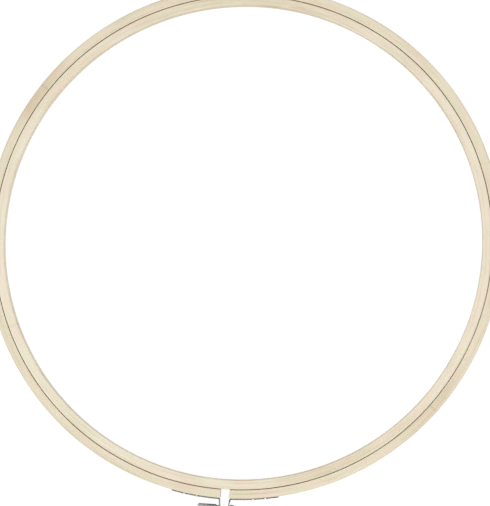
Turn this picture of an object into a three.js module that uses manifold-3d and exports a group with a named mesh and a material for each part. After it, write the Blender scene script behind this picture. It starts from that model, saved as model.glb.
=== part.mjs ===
import * as THREE from 'three';
import { mergeVertices } from 'three/addons/utils/BufferGeometryUtils.js';
import Module from 'manifold-3d';

// Embroidery hoop lying flat: an inner ring, a split outer ring round it, and the screw clamp that draws
// the split together. Millimetres, +Z up, the split and its clamp towards -Y, the thumb screw's knob at -X.

const { degToRad, lerp } = THREE.MathUtils;

// The two bent wooden rings
const HOOP_DIAMETER = 250;
const RING_HEIGHT = 9.5;
const INNER_WALL = 4.8;
const OUTER_WALL = 4.65;
const RING_CLEARANCE = 0.3;
const EDGE_ROUND = 0.8;
const SPLIT_WIDTH = 4.6;
const RING_STEPS = 120;

// Bent wood is never quite round: the radius grows by this much along the long axis and shrinks across it
const OUT_OF_ROUND = 0.7;
const LONG_AXIS = degToRad(25);

// Nor is it one thickness all along: the outer ring's wall is this much thicker at one side, thinner opposite
const WALL_VARIATION = 0.35;
const THICK_SIDE = degToRad(43);

// The steel strips on the outer ring's ends, each bent out into an ear
const SHEET = 0.5;
const STRIP_WIDTH = 8;
const STRIP_LENGTH = 25.1;
const BEND_RADIUS = 0.5;
const EAR_LEAN = degToRad(4.5);
const SEAT_GAP = 0.2;

// The pins that hold each strip to the wood
const PIN_DIAMETER = 1.4;
const PIN_HEAD_DIAMETER = 2.8;
const PIN_HEAD_HEIGHT = 0.4;
const PIN_FROM_END = 6.8;
const PIN_SPACING = 6.3;
const WOOD_UNDER_PIN = 1.3;

// The thumb screw and its nut
const SCREW_DIAMETER = 4;
const THREAD_PITCH = 0.7;
const THREAD_DEPTH = 0.43;
const LOOSENING_TURNS = 8;
const THREAD_SPARE = 1.2;
const SCREW_CLEARANCE = 0.35;
const KNOB_DIAMETER = 8;
const KNOB_LENGTH = 10.75;
const KNOB_CHAMFER = 0.6;
const KNOB_TO_STRIP = 2.55;
const KNURL_DEPTH = 0.35;
const KNURL_RIDGES = 16;
const COLLAR_LENGTH = 1.3;
const COLLAR_INSET = 0.5;
const SLOT_WIDTH = 1;
const SLOT_DEPTH = 1.2;
const NUT_ACROSS_FLATS = 7;
const NUT_THICKNESS = 2.4;
const NUT_CHAMFER = 0.35;

// How finely the round forms are divided
const ARC_STEPS = 10;
const BEND_STEPS = 4;
const DOME_STEPS = 4;
const TIP_STEPS = 12;
const PIN_SIDES = 14;
const BORE_SIDES = 20;
const THREAD_SIDES = 16;
const NUT_SIDES = 36;
const WELD_DISTANCE = 1e-4;

// Sizes that follow from the ones above
const innerRingOutside = HOOP_DIAMETER / 2;
const innerRingInside = innerRingOutside - INNER_WALL;
const outerRingInside = innerRingOutside + RING_CLEARANCE;
const outerRingOutside = outerRingInside + OUTER_WALL;
const stripOutside = outerRingOutside + SEAT_GAP + SHEET;
const middleHeight = RING_HEIGHT / 2;
const knobRadius = KNOB_DIAMETER / 2;
const screwRadius = SCREW_DIAMETER / 2;
const rootRadius = screwRadius - THREAD_DEPTH;
const boreRadius = screwRadius + SCREW_CLEARANCE;
const fullTurn = degToRad(360);
const quarterTurn = degToRad(90);
const splitAngle = -quarterTurn;
const earBase = ringRadius(outerRingOutside, splitAngle);
const screwY = -(ringRadius(stripOutside, splitAngle) + KNOB_TO_STRIP + knobRadius);

// How far the ears' outer faces lie from the middle of the split, where the knob and the nut bear on them
const earReach = -screwY - earBase;
const bearingFace = SPLIT_WIDTH / 2 + SHEET - (earReach - knobRadius) * Math.tan(EAR_LEAN) + SEAT_GAP;
const screwLength = 2 * bearingFace + NUT_THICKNESS + LOOSENING_TURNS * THREAD_PITCH + THREAD_SPARE;

const wasm = await Module();
wasm.setup();

// A closed geometry as a solid that can be joined and cut
function solidOf(geometry) {
  const bare = geometry.clone();
  bare.deleteAttribute('normal');
  bare.deleteAttribute('uv');
  const welded = mergeVertices(bare, WELD_DISTANCE);
  return new wasm.Manifold(new wasm.Mesh({
    numProp: 3,
    vertProperties: Float32Array.from(welded.attributes.position.array),
    triVerts: Uint32Array.from(welded.index.array),
  }));
}

// A solid as a geometry again
function geometryOf(solid) {
  const { vertProperties, triVerts } = solid.getMesh();
  const geometry = new THREE.BufferGeometry();
  geometry.setAttribute('position', new THREE.BufferAttribute(vertProperties, 3));
  geometry.setIndex(new THREE.BufferAttribute(triVerts, 1));
  geometry.computeVertexNormals();
  return geometry;
}

// The radius of an oval line of this mean radius, at an angle from +X. Lines outside the outer ring's inner
// face also follow its uneven wall
function ringRadius(meanRadius, angle) {
  const wallShare = THREE.MathUtils.clamp((meanRadius - outerRingInside) / OUTER_WALL, 0, 1);
  const unevenness = WALL_VARIATION * Math.cos(angle - THICK_SIDE);
  return meanRadius + OUT_OF_ROUND * Math.cos(2 * (angle - LONG_AXIS)) + wallShare * unevenness;
}

function ringPoint(meanRadius, angle) {
  const radius = ringRadius(meanRadius, angle);
  return new THREE.Vector2(radius * Math.cos(angle), radius * Math.sin(angle));
}

// Points along an oval line from one angle to another, both ends among them
function ringArc(meanRadius, from, to, steps) {
  const points = [];
  for (let i = 0; i <= steps; i += 1) {
    points.push(ringPoint(meanRadius, lerp(from, to, i / steps)));
  }
  return points;
}

// A flat outline raised to the rings' height, with its upper and lower edges rounded
function raiseRing(shape) {
  return new THREE.ExtrudeGeometry(shape, {
    depth: RING_HEIGHT - 2 * EDGE_ROUND,
    bevelThickness: EDGE_ROUND,
    bevelSize: EDGE_ROUND,
    bevelOffset: -EDGE_ROUND,
    bevelSegments: 2,
  }).translate(0, 0, EDGE_ROUND);
}

function innerRing() {
  const shape = new THREE.Shape(ringArc(innerRingOutside, 0, fullTurn, RING_STEPS).slice(0, -1));
  shape.holes.push(new THREE.Path(ringArc(innerRingInside, 0, fullTurn, RING_STEPS).slice(0, -1)));
  return raiseRing(shape);
}

// The angle from the middle of the split to the wood's end, on a line of this mean radius
function endAngle(meanRadius) {
  return Math.asin(SPLIT_WIDTH / 2 / ringRadius(meanRadius, splitAngle));
}

// The outer ring: one strip bent nearly all the way round, with blind holes for the strips' pins
function outerRing() {
  const side = (meanRadius) => {
    const end = endAngle(meanRadius);
    return ringArc(meanRadius, splitAngle + end, splitAngle + fullTurn - end, RING_STEPS);
  };
  const outline = [...side(outerRingOutside), ...side(outerRingInside).reverse()];
  let ring = solidOf(raiseRing(new THREE.Shape(outline)));
  for (const angle of [...pinAngles(-1), ...pinAngles(1)]) {
    ring = ring.subtract(radialHole(angle, outerRingInside + WOOD_UNDER_PIN - SEAT_GAP, stripOutside));
  }
  return geometryOf(ring);
}

// Angles of a strip's two pins, the one nearer its far end first. side is -1 at the left, 1 at the right
function pinAngles(side) {
  const far = SPLIT_WIDTH / 2 + STRIP_LENGTH - PIN_FROM_END;
  return [far, far - PIN_SPACING].map((arc) => splitAngle + side * arc / outerRingOutside);
}

// A cutter for a pin's hole, from one mean radius out to another, counted from the strip as the pin is
function radialHole(angle, from, to) {
  const radius = PIN_DIAMETER / 2 + SEAT_GAP;
  const cutter = new THREE.CylinderGeometry(radius, radius, to - from, PIN_SIDES);
  cutter.translate(0, (from + to) / 2 + ringRadius(stripOutside, angle) - stripOutside, 0);
  cutter.rotateZ(angle - quarterTurn);
  return solidOf(cutter.translate(0, 0, middleHeight));
}

// The middle line of a strip and its ear, seen from above: along the wood, round the bend, out along the ear
function bracketLine(side) {
  const bendRadius = BEND_RADIUS + SHEET / 2;
  const bendX = SPLIT_WIDTH / 2 + SHEET / 2 + bendRadius;
  const middle = outerRingOutside + SEAT_GAP + SHEET / 2;
  const farAngle = splitAngle + side * (SPLIT_WIDTH / 2 + STRIP_LENGTH) / outerRingOutside;
  const nearAngle = splitAngle + side * Math.asin(bendX / ringRadius(middle, splitAngle));
  const line = ringArc(middle, farAngle, nearAngle, ARC_STEPS);
  const bendY = line.at(-1).y - bendRadius;
  for (let i = 1; i <= BEND_STEPS; i += 1) {
    const turned = (quarterTurn - EAR_LEAN) * i / BEND_STEPS;
    const x = bendX - bendRadius * Math.sin(turned);
    line.push(new THREE.Vector2(side * x, bendY + bendRadius * Math.cos(turned)));
  }
  const ear = new THREE.Vector2(-side * Math.sin(EAR_LEAN), -Math.cos(EAR_LEAN));
  line.push(line.at(-1).clone().addScaledVector(ear, STRIP_WIDTH + earReach));
  return line;
}

// A line thickened by half the sheet to each side
function thicken(line) {
  const offset = (amount) => line.map((point, i) => {
    const before = line[Math.max(i - 1, 0)];
    const after = line[Math.min(i + 1, line.length - 1)];
    const along = after.clone().sub(before).normalize();
    return point.clone().add(new THREE.Vector2(-along.y, along.x).multiplyScalar(amount));
  });
  return new THREE.Shape([...offset(SHEET / 2), ...offset(-SHEET / 2).reverse()]);
}

function extrude(shape, depth) {
  return new THREE.ExtrudeGeometry(shape, { depth, bevelEnabled: false, curveSegments: TIP_STEPS });
}

// A bar with one round end, of the strip's width: x runs to the round end's middle, y is centred on 0
function roundedBar(from, to) {
  const shape = new THREE.Shape();
  shape.moveTo(from, -STRIP_WIDTH / 2);
  shape.lineTo(to, -STRIP_WIDTH / 2);
  shape.absarc(to, 0, STRIP_WIDTH / 2, -quarterTurn, quarterTurn);
  shape.lineTo(from, STRIP_WIDTH / 2);
  return shape;
}

// What trims the ear's tip round: the bar runs from inside the wood out to the screw's axis
function earTrim(side) {
  const run = SPLIT_WIDTH + STRIP_LENGTH;
  const trim = extrude(roundedBar(0, -screwY), run);
  trim.applyMatrix4(new THREE.Matrix4().makeBasis(
    new THREE.Vector3(0, -1, 0),
    new THREE.Vector3(0, 0, 1),
    new THREE.Vector3(-1, 0, 0),
  ));
  return solidOf(trim.translate(side > 0 ? run : 0, 0, middleHeight));
}

// What trims the strip's far end round
function stripTrim(side) {
  const farAngle = (SPLIT_WIDTH / 2 + STRIP_LENGTH) / outerRingOutside;
  const reach = ringRadius(outerRingOutside, splitAngle) * Math.sin(farAngle) - STRIP_WIDTH / 2;
  const run = 2 * -screwY;
  const trim = extrude(roundedBar(-SPLIT_WIDTH, reach), run);
  trim.rotateX(quarterTurn);
  if (side < 0) {
    trim.rotateZ(fullTurn / 2);
    trim.translate(0, -run, 0);
  }
  return solidOf(trim.translate(0, 0, middleHeight));
}

// A strip with its ear, its two pin holes and the screw's hole
function bracket(side) {
  const sheet = extrude(thicken(bracketLine(side)), STRIP_WIDTH);
  sheet.translate(0, 0, middleHeight - STRIP_WIDTH / 2);
  const screwHole = new THREE.CylinderGeometry(boreRadius, boreRadius, 2 * screwLength, BORE_SIDES);
  screwHole.rotateZ(quarterTurn);
  screwHole.translate(0, screwY, middleHeight);
  let plate = solidOf(sheet).intersect(earTrim(side)).intersect(stripTrim(side)).subtract(solidOf(screwHole));
  for (const angle of pinAngles(side)) {
    plate = plate.subtract(radialHole(angle, outerRingInside, stripOutside + SHEET));
  }
  return geometryOf(plate);
}

// A round-headed pin, its axis along Y and the underside of its head at 0
function pin() {
  const shank = SEAT_GAP + stripOutside - outerRingInside - WOOD_UNDER_PIN;
  const head = [];
  for (let i = 0; i <= DOME_STEPS; i += 1) {
    const angle = quarterTurn * i / DOME_STEPS;
    head.push(new THREE.Vector2(PIN_HEAD_DIAMETER / 2 * Math.cos(angle), PIN_HEAD_HEIGHT * Math.sin(angle)));
  }
  head.at(-1).x = 0;
  return new THREE.LatheGeometry([
    new THREE.Vector2(0, -shank),
    new THREE.Vector2(PIN_DIAMETER / 2, -shank),
    new THREE.Vector2(PIN_DIAMETER / 2, 0),
    ...head,
  ], PIN_SIDES);
}

// A rod along Y from 0 with a helical thread, cut to this length
function threadedRod(length) {
  const around = THREAD_SIDES;
  const turnsBelow = 2;
  const rows = 2 * (Math.ceil(length / THREAD_PITCH) + 2 * turnsBelow);
  const positions = [];
  const faces = [];
  const corner = (i, row) => (i < around ? row * around + i : (row + 2) * around);
  for (let row = 0; row < rows; row += 1) {
    const radius = row % 2 ? screwRadius : rootRadius;
    for (let i = 0; i < around; i += 1) {
      const angle = fullTurn * i / around;
      const y = THREAD_PITCH * (row / 2 + i / around - turnsBelow);
      positions.push(radius * Math.sin(angle), y, radius * Math.cos(angle));
    }
  }
  for (let i = 0; i < around; i += 1) {
    const last = i < around - 1 ? rows - 1 : rows - 3;
    for (let row = 0; row < last; row += 1) {
      faces.push(corner(i, row), corner(i + 1, row), corner(i + 1, row + 1));
      faces.push(corner(i, row), corner(i + 1, row + 1), corner(i, row + 1));
    }
  }
  const bottom = [corner(0, 1), corner(0, 0)];
  const top = [corner(around - 1, rows - 3), corner(around - 1, rows - 2)];
  for (let i = 1; i <= around; i += 1) {
    bottom.push(corner(i, 0));
    top.push(corner(around - i, rows - 1));
  }
  for (const loop of [bottom.reverse(), top.reverse()]) {
    const middle = positions.length / 3;
    positions.push(0, positions[loop[2] * 3 + 1], 0);
    loop.forEach((at, n) => faces.push(middle, at, loop[(n + 1) % loop.length]));
  }
  const rod = new THREE.BufferGeometry();
  rod.setAttribute('position', new THREE.Float32BufferAttribute(positions, 3));
  rod.setIndex(faces);
  const trim = new THREE.LatheGeometry([
    new THREE.Vector2(0, 0),
    new THREE.Vector2(SCREW_DIAMETER, 0),
    new THREE.Vector2(SCREW_DIAMETER, length - SCREW_DIAMETER + rootRadius),
    new THREE.Vector2(rootRadius, length),
    new THREE.Vector2(0, length),
  ], THREAD_SIDES);
  return solidOf(rod).intersect(solidOf(trim));
}

// The knob: a diamond-knurled cylinder along Y below 0, with a plain collar towards the ear and a driver slot
function knob() {
  const knurlTop = -COLLAR_LENGTH;
  const knurlBottom = -KNOB_LENGTH + KNOB_CHAMFER;
  const rows = 2 * Math.round((knurlTop - knurlBottom) * KNURL_RIDGES / (Math.PI * KNOB_DIAMETER));
  const profile = [
    new THREE.Vector2(0, -KNOB_LENGTH),
    new THREE.Vector2(knobRadius - KNOB_CHAMFER, -KNOB_LENGTH),
  ];
  for (let row = 0; row <= rows; row += 1) {
    profile.push(new THREE.Vector2(knobRadius, lerp(knurlBottom, knurlTop, row / rows)));
  }
  profile.push(
    new THREE.Vector2(knobRadius - COLLAR_INSET, -COLLAR_LENGTH),
    new THREE.Vector2(knobRadius - COLLAR_INSET, 0),
    new THREE.Vector2(0, 0),
  );
  const body = new THREE.LatheGeometry(profile, 2 * KNURL_RIDGES);
  const lowered = (n) => {
    const row = n % profile.length - 2;
    const column = Math.floor(n / profile.length);
    return row >= 0 && row <= rows && (row + column) % 2 === 1;
  };
  const position = body.attributes.position;
  for (let n = 0; n < position.count; n += 1) {
    const inward = lowered(n) ? 1 - KNURL_DEPTH / knobRadius : 1;
    position.setXYZ(n, position.getX(n) * inward, position.getY(n), position.getZ(n) * inward);
  }
  // The fold across each square of the knurl joins its two low corners
  const faces = body.index.array;
  for (let n = 0; n < faces.length; n += 6) {
    const [a, b, d, c] = faces.slice(n, n + 4);
    if (lowered(a) && lowered(c)) faces.set([a, b, c, a, c, d], n);
  }
  const slot = new THREE.BoxGeometry(KNOB_DIAMETER, 2 * SLOT_DEPTH, SLOT_WIDTH);
  return solidOf(body).subtract(solidOf(slot.translate(0, -KNOB_LENGTH, 0)));
}

// The knob and its shank, one turned piece
function thumbScrew() {
  const root = solidOf(new THREE.CylinderGeometry(rootRadius, rootRadius, COLLAR_LENGTH, THREAD_SIDES));
  return geometryOf(knob().add(root).add(threadedRod(screwLength)));
}

// A hexagon nut along Y, a corner towards the ring, its corners chamfered at both ends
function nut() {
  const corner = NUT_ACROSS_FLATS / Math.sqrt(3);
  const hexagon = new THREE.CylinderGeometry(corner, corner, NUT_THICKNESS, 6, 1, false, fullTurn / 12);
  const half = NUT_THICKNESS / 2;
  const barrel = new THREE.LatheGeometry([
    new THREE.Vector2(0, -half),
    new THREE.Vector2(corner - 2 * NUT_CHAMFER, -half),
    new THREE.Vector2(corner, NUT_CHAMFER - half),
    new THREE.Vector2(corner, half - NUT_CHAMFER),
    new THREE.Vector2(corner - 2 * NUT_CHAMFER, half),
    new THREE.Vector2(0, half),
  ], NUT_SIDES);
  const bore = new THREE.CylinderGeometry(boreRadius, boreRadius, 2 * NUT_THICKNESS, BORE_SIDES);
  return geometryOf(solidOf(hexagon).intersect(solidOf(barrel)).subtract(solidOf(bore)));
}

function finish(colour, roughness, metalness) {
  return new THREE.MeshStandardMaterial({ color: new THREE.Color(colour), roughness, metalness });
}

const innerWood = () => finish('rgb(233, 223, 201)', 0.6, 0);
const outerWood = () => finish('rgb(230, 218, 193)', 0.62, 0);
const plate = () => finish('rgb(150, 150, 146)', 0.35, 1);
const bright = () => finish('rgb(172, 171, 166)', 0.3, 1);

const hoop = new THREE.Group();

function place(name, geometry, material, parent = hoop) {
  const mesh = new THREE.Mesh(geometry, material);
  mesh.name = name;
  parent.add(mesh);
  return mesh;
}

place('inner_ring', innerRing(), innerWood());
place('outer_ring', outerRing(), outerWood());

for (const [name, side] of [['left', -1], ['right', 1]]) {
  place(`${name}_bracket`, bracket(side), plate());
  pinAngles(side).forEach((angle, n) => {
    const held = place(`${name}_bracket_pin_${n ? 'near' : 'far'}`, pin(), bright());
    const seat = ringPoint(stripOutside + SEAT_GAP, angle);
    held.position.set(seat.x, seat.y, middleHeight);
    held.rotation.z = angle - quarterTurn;
  });
}

// The clamp's own axis: everything in it is turned about Y, and Y lies along the hoop's X
const clamp = new THREE.Group();
clamp.position.set(0, screwY, middleHeight);
clamp.rotation.z = -quarterTurn;
hoop.add(clamp);
place('thumb_screw', thumbScrew(), bright(), clamp).position.y = -bearingFace;
place('nut', nut(), bright(), clamp).position.y = bearingFace + NUT_THICKNESS / 2;

// The origin is on the table under the middle of the whole object, clamp and all
const middle = new THREE.Box3().setFromObject(hoop, true).getCenter(new THREE.Vector3());
hoop.position.set(-middle.x, -middle.y, 0);

export default hoop;
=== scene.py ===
import math

import bmesh
import bpy
import numpy as np
from mathutils import Matrix, Vector, noise


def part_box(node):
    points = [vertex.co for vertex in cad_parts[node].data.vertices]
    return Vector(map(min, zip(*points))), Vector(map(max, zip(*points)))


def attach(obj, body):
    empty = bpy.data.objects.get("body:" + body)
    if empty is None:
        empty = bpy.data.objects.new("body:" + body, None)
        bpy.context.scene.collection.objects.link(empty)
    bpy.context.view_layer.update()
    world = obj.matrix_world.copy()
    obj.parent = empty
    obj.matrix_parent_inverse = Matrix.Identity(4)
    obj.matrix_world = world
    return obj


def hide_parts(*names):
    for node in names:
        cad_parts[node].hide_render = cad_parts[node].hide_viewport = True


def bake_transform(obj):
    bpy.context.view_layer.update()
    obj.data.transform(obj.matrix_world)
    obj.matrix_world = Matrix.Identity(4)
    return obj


# An embroidery hoop lying flat, seen from straight above: two bent bamboo rings and the screw clamp that
# closes the outer one. Metres, in the CAD part's frame: +Z up, the clamp at -Y, the thumb screw's knob at -X.

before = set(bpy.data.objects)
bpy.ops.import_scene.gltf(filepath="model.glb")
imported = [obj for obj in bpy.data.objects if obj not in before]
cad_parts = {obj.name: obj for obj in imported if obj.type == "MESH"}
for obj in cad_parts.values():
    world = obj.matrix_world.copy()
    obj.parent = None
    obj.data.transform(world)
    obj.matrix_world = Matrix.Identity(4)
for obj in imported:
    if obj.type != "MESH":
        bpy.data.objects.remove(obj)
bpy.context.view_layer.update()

# The rings
INNER_WALL = 0.0048
OUTER_WALL = 0.00465
WALL_VARIATION = 0.00035
THICK_SIDE = math.radians(43)
OUT_OF_ROUND = 0.0007
LONG_AXIS = math.radians(25)
SPLIT_WIDTH = 0.0046
SPLIT_ANGLE = math.radians(-90)
RIM_EDGE = 0.0006
GAP_EDGE = 0.0002
GAP_BULGE = 0.00013
SAWN_EDGE = 0.0002
RING_STEPS = 720
EDGE_STEPS = 5
FACE_STEPS = 6
SANDING = 0.00004
OUTSIDE_SPARE = 0.00003

# The wood's looks: how much of the painted shade on its sides is left half way up, its knots, its glued joint
# and its worn edges
SIDE_SHADE_MIDDLE = 0.35
KNOT_HALF_LENGTH = 0.0022
KNOT_DARKNESS = 0.14
GLUE_DARKNESS = 0.3
WORN_DARKNESS = 0.1

# The inner ring's ends meet in a long slanted joint; the angles are the model's, anticlockwise from +X
SCARF_ANGLE = math.radians(79.6)
SCARF_LENGTH = 0.03

# The steel strips and their ears
SHEET = 0.0005
STRIP_WIDTH = 0.008
STRIP_LENGTH = 0.0251
BEND_RADIUS = 0.0005
EAR_LEAN = math.radians(4.5)
SEAT_GAP = 0.00006
HOLE_CLEARANCE = 0.0002
SHEET_EDGE = 0.00009
ARC_STEPS = 24
BEND_STEPS = 10
EAR_STEPS = 5
# How far past and before its bend each strip is made darker
DARK_PAST_BEND = 0.0009
DARK_BEFORE_BEND = 0.0003
ACROSS = (-1, -0.955, -0.68, -0.34, 0, 0.34, 0.68, 0.955, 1)
ROUND_STEPS = 8
PLAIN_STEPS = 9
AROUND_HOLE = (0.0, 0.08, 0.35, 0.7, 1.0)

# The pins
PIN_DIAMETER = 0.0014
PIN_HEAD_DIAMETER = 0.0028
PIN_HEAD_HEIGHT = 0.00035
PIN_FROM_END = 0.0068
PIN_SPACING = 0.0063
PIN_PLACES = (PIN_FROM_END, PIN_FROM_END + PIN_SPACING)
WOOD_UNDER_PIN = 0.0013
PIN_SIDES = 40
PIN_LIP = 0.00008
# How much darker the pins' shanks are made
PIN_SHANK_DARKENING = 0.6
DOME_STEPS = 9

# The thumb screw
SCREW_DIAMETER = 0.004
THREAD_PITCH = 0.0007
THREAD_DEPTH = 0.00043
SCREW_CLEARANCE = 0.00035
THREAD_GAP = 0.00028
KNOB_LENGTH = 0.01075
KNOB_CHAMFER = 0.0006
KNOB_FACE_RINGS = (0.25, 0.6)
TURNED_EDGE = 0.0001
KNURL_DEPTH = 0.00035
KNURL_RIDGES = 16
KNURL_FLAT = 0.14
KNURL_STEPS = 6
COLLAR_LENGTH = 0.0013
COLLAR_INSET = 0.0005
COLLAR_SEAT = 0.0006
SLOT_WIDTH = 0.001
SLOT_DEPTH = 0.0012
THREAD_SIDES = 64
THREAD_ROWS = 14
CREST_HALF = 0.07
FLANK = 0.29

# Painted shade on the screw: how dark it is in its hollows, from 0 to 1, and over what length next to the ear
# the knob is darkened and dulled
KNOB_EAR_SHADE = 0.55
KNOB_EAR_SHADE_LENGTH = 0.0065
KNOB_EAR_SHADE_FADE = 0.0013
GROOVE_SHADE = 0.7
COLLAR_SHADE = 0.85
THREAD_SHADE = 0.57

# The nut
NUT_ACROSS_FLATS = 0.007
NUT_CHAMFER = 0.00035
NUT_SIDES = 96
COUNTERSINK = 0.0006
NUT_EDGE_TURN = 0.18
NUT_EDGE_FADE = 0.06

# The picture: its size, and where it has the middle of the rings, in pixels
PICTURE_WIDTH = 490
PICTURE_HEIGHT = 506
MIDDLE_ACROSS = 242.8
MIDDLE_DOWN = 242.4
PIXELS_PER_METRE = 1984
PICTURE_TURN = math.radians(4.1)

# The camera, and how far it leans to the picture's right and down
CAMERA_DISTANCE = 2.0
CAMERA_LEAN_RIGHT = math.radians(2.0)
CAMERA_LEAN_DOWN = math.radians(1.45)

# The floor and the soft light round it
FLOOR_HALF = 4.0
FLOOR_LEVEL = -0.00005
FLOOR_GLOW = 0.95
LIGHT_STRENGTH = 0.5

FULL_TURN = math.tau
MM = 0.001

inner_low, inner_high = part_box("inner_ring")
outer_low, outer_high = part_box("outer_ring")
screw_low, screw_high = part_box("thumb_screw")
nut_low, nut_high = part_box("nut")

ring_centre = (inner_low + inner_high) / 2
ring_height = inner_high.z - inner_low.z
screw_axis = Vector((0, (screw_low.y + screw_high.y) / 2, ring_centre.z))
knob_radius = (screw_high.y - screw_low.y) / 2
screw_radius = SCREW_DIAMETER / 2
root_radius = screw_radius - THREAD_DEPTH


def ovalness(angle):
    """How much an oval line's radius at an angle from +X is over its mean."""
    return OUT_OF_ROUND * np.cos(2 * (angle - LONG_AXIS))


inner_outside = (inner_high.x - inner_low.x) / 2 - ovalness(0)
outer_outside = (outer_high.x - outer_low.x) / 2 - ovalness(0)
outer_inside = outer_outside - OUTER_WALL


def ring_radius(mean_radius, angle):
    """The radius of a line round the rings. The outer ring's wall is thicker at one side than the other."""
    wall_share = np.clip((mean_radius - outer_inside) / OUTER_WALL, 0, 1)
    return mean_radius + ovalness(angle) + wall_share * WALL_VARIATION * np.cos(angle - THICK_SIDE)


def clamp(value):
    return min(1.0, max(0.0, value))


# Meshes

def add_object(name, data):
    made = bpy.data.objects.new(name, data)
    bpy.context.scene.collection.objects.link(made)
    return made


def add_mesh(name, points, faces):
    mesh = bpy.data.meshes.new(name)
    mesh.from_pydata(points, [], faces)
    return add_object(name, mesh)


def mesh_object(name, points, faces, smooth_angle=35):
    """A closed mesh as an object, its faces turned outwards and shaded smooth up to this angle."""
    built = add_mesh(name, points, faces)
    clean = bmesh.new()
    clean.from_mesh(built.data)
    bmesh.ops.recalc_face_normals(clean, faces=clean.faces)
    clean.to_mesh(built.data)
    clean.free()
    shade(built, smooth_angle)
    return built


def shade(built, smooth_angle):
    mesh = built.data
    mesh.polygons.foreach_set("use_smooth", [True] * len(mesh.polygons))
    mesh.set_sharp_from_angle(angle=math.radians(smooth_angle))


def weld(built, distance=1e-7):
    """Points in the same place become one, and faces that have shrunk to nothing go."""
    clean = bmesh.new()
    clean.from_mesh(built.data)
    bmesh.ops.remove_doubles(clean, verts=clean.verts, dist=distance)
    bmesh.ops.dissolve_degenerate(clean, edges=clean.edges, dist=distance)
    bmesh.ops.recalc_face_normals(clean, faces=clean.faces)
    clean.to_mesh(built.data)
    clean.free()


def set_vectors(built, name, vectors):
    layer = built.data.attributes.new(name, "FLOAT_VECTOR", "POINT")
    layer.data.foreach_set("vector", np.asarray(vectors, np.float32).ravel())


def set_numbers(built, name, numbers):
    layer = built.data.attributes.new(name, "FLOAT", "POINT")
    layer.data.foreach_set("value", np.asarray(numbers, np.float32).ravel())


def apply_modifiers(built):
    """The object's modifiers made part of its mesh."""
    graph = bpy.context.evaluated_depsgraph_get()
    finished = bpy.data.meshes.new_from_object(built.evaluated_get(graph))
    built.modifiers.clear()
    built.data = finished


def loop_quads(lower, upper, closed=True):
    """Quads between two rows of point numbers of the same length."""
    count = len(lower)
    last = count if closed else count - 1
    return [(lower[i], lower[(i + 1) % count], upper[(i + 1) % count], upper[i]) for i in range(last)]


def skin(rows, closed=True):
    """Quads between each row and the next."""
    return [quad for lower, upper in zip(rows, rows[1:]) for quad in loop_quads(lower, upper, closed)]


def add_row(points, row):
    """Adds a row of points and gives their numbers."""
    first = len(points)
    points += row
    return list(range(first, len(points)))


def around_x(along, radius, angle):
    """A point of a surface turned about +X."""
    return along, radius * math.cos(angle), radius * math.sin(angle)


def mark_turned(built, points):
    """The "marks" of a piece turned about +X: its points' millimetres along the axis and from it."""
    set_vectors(built, "marks", [(along / MM, math.hypot(y, z) / MM, 0.0) for along, y, z in points])


def lathe(profile, sides):
    """Points and faces of a profile of (along, radius) turned about +X, its two ends on the axis."""
    points, rows = [], []
    for along, radius in profile:
        if radius == 0:
            rows.append(add_row(points, [(along, 0, 0)]) * sides)
        else:
            row = [around_x(along, radius, FULL_TURN * i / sides) for i in range(sides)]
            rows.append(add_row(points, row))
    return points, [tuple(dict.fromkeys(quad)) for quad in skin(rows)]


# Materials

def paint(red, green, blue):
    """A colour as it is written on a screen, from 0 to 255, as the shader's own linear values."""
    linear = []
    for part in (red, green, blue):
        value = part / 255
        linear.append(value / 12.92 if value <= 0.04045 else ((value + 0.055) / 1.055) ** 2.4)
    return (*linear, 1.0)


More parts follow.
